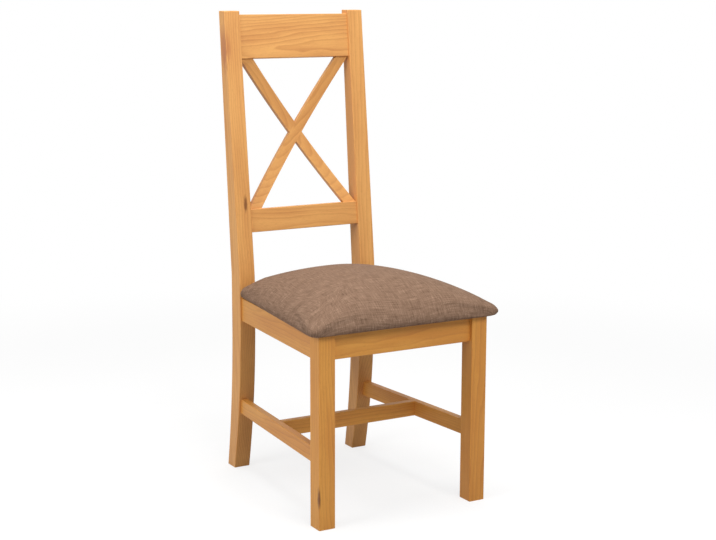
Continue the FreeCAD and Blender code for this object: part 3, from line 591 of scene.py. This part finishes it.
def screw_seats():
    """Where each head sits on the corner blocks and which way it faces."""
    seats = []
    for end in ("front", "rear"):
        for side in ("left", "right"):
            block = nodes["corner_block_%s_%s" % (end, side)]
            faces = [(block.matrix_world @ face.center, block.matrix_world.to_3x3() @ face.normal,
                      face.area)
                     for face in block.data.polygons]
            slanted = [face for face in faces if min(abs(face[1].x), abs(face[1].y)) > 0.4]
            total = sum(face[2] for face in slanted)
            centre = sum((face[0] * face[2] for face in slanted), Vector()) / total
            normal = slanted[0][1].normalized()
            run = Vector((0, 0, 1)).cross(normal)
            seats += [(centre + run * SCREW_SPREAD, normal), (centre - run * SCREW_SPREAD, normal)]
            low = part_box(block.name)[0].z
            under = centre - normal * SEAT_SCREW_PLACE
            seats.append((Vector((under.x, under.y, low)), Vector((0, 0, -1))))
    return seats


def seat_frame_screws():
    """Screws that hold the corner blocks to the rails, and the seat to the blocks."""
    head = screw_head()
    work = bmesh.new()
    for i, (place, normal) in enumerate(screw_seats()):
        known = len(work.verts)
        work.from_mesh(head.data)
        work.verts.ensure_lookup_table()
        turn = normal.to_track_quat("Z", "Y").to_matrix().to_4x4() @ Matrix.Rotation(i * 0.9, 4, "Z")
        bmesh.ops.transform(work, matrix=Matrix.Translation(place) @ turn, verts=work.verts[known:])
    bpy.data.objects.remove(head)
    screws = object_of(work, "seat_frame_screws")
    screws.data.materials.append(zinc_plate())
    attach(screws, "root")


seat_frame_screws()

PAPER_SHADE = "#b0b0b0"
SHADOW_SHARE = 0.25
SHADOW_FULL = 1.0
SHADOW_END = 2.4
ROOM_LIGHT = 0.37


def straight_rays(tree):
    """1 for what the camera sees, itself or through a reflection or glass, and 0 for scattered light."""
    seen = add(tree, "ShaderNodeLightPath").node.outputs
    straight = add(tree, MATH, {0: seen["Is Camera Ray"], 1: seen["Is Glossy Ray"]}, operation="MAXIMUM")
    return add(tree, MATH, {0: straight, 1: seen["Is Transmission Ray"]}, operation="MAXIMUM")


def studio_floor():
    """A white paper floor: white to the eye with a faint shadow, and a plain grey in the light it gives."""
    work = bmesh.new()
    bmesh.ops.create_grid(work, x_segments=1, y_segments=1, size=12)
    floor = object_of(work, "floor")
    material, tree, shader = new_material("white_paper")
    straight = straight_rays(tree)
    paper = add(tree, MIX, {0: straight, 6: srgb(PAPER_SHADE), 7: grey(1.0)}, MIXED_COLOUR,
                data_type="RGBA")
    tree.links.new(paper, shader.inputs["Base Color"])
    shader.inputs["Roughness"].default_value = 1.0
    shader.inputs["Specular IOR Level"].default_value = 0.0
    glow = add(tree, "ShaderNodeEmission", {"Color": grey(1.0), "Strength": 1.0})
    away = add(tree, VECTOR, {0: add(tree, COORDINATES, output="Object")}, "Value", operation="LENGTH")
    fade = add(tree, RANGE, {0: away, 1: SHADOW_FULL, 2: SHADOW_END, 3: 1 - SHADOW_SHARE, 4: 1.0},
               interpolation_type="SMOOTHSTEP")
    amount = add(tree, MATH, {0: straight, 1: fade}, operation="MULTIPLY")
    both = add(tree, "ShaderNodeMixShader", {0: amount, 1: shader.outputs[0], 2: glow})
    tree.links.new(both, tree.nodes["Material Output"].inputs["Surface"])
    floor.data.materials.append(material)


def studio_world():
    """A white room whose scattered light is dimmer than it looks."""
    world = bpy.data.worlds.new("studio")
    bpy.context.scene.world = world
    world.use_nodes = True
    tree = world.node_tree
    tree.nodes.clear()
    strength = add(tree, RANGE, {0: straight_rays(tree), 3: ROOM_LIGHT, 4: 1.0})
    shine = add(tree, "ShaderNodeBackground", {"Color": grey(1.0), "Strength": strength})
    add(tree, "ShaderNodeOutputWorld", {"Surface": shine})


def softbox(name, place, aim, width, height, power):
    light = bpy.data.lights.new(name, "AREA")
    light.shape = "RECTANGLE"
    light.size = width
    light.size_y = height
    light.energy = power
    lamp = bpy.data.objects.new(name, light)
    lamp.location = place
    lamp.rotation_euler = (Vector(aim) - Vector(place)).to_track_quat("-Z", "Y").to_euler()
    bpy.context.scene.collection.objects.link(lamp)


def photograph_camera():
    data = bpy.data.cameras.new("camera")
    data.sensor_fit = "HORIZONTAL"
    data.sensor_width = SENSOR_WIDTH
    data.lens = FOCAL_PIXELS * SENSOR_WIDTH / IMAGE_WIDTH
    data.clip_end = 50
    camera = bpy.data.objects.new("camera", data)
    camera.location = CAMERA_PLACE
    turn = Euler((math.pi / 2 - CAMERA_PITCH, 0, -CAMERA_YAW), "XYZ").to_matrix()
    roll = Euler((0, 0, CAMERA_ROLL), "XYZ").to_matrix()
    camera.rotation_euler = (turn @ roll).to_euler()
    bpy.context.scene.collection.objects.link(camera)
    bpy.context.scene.camera = camera


studio_floor()
studio_world()
softbox("key", (0.0, -2.0, 2.1), (0, 0, 0.5), 1.4, 1.0, 31)
softbox("left", (-2.4, -0.3, 1.6), (0, 0, 0.4), 1.2, 1.2, 29)
softbox("top", (0, 0, 2.6), (0, 0, 0.5), 1.6, 1.6, 38)
photograph_camera()
bpy.context.scene.view_settings.view_transform = "Standard"
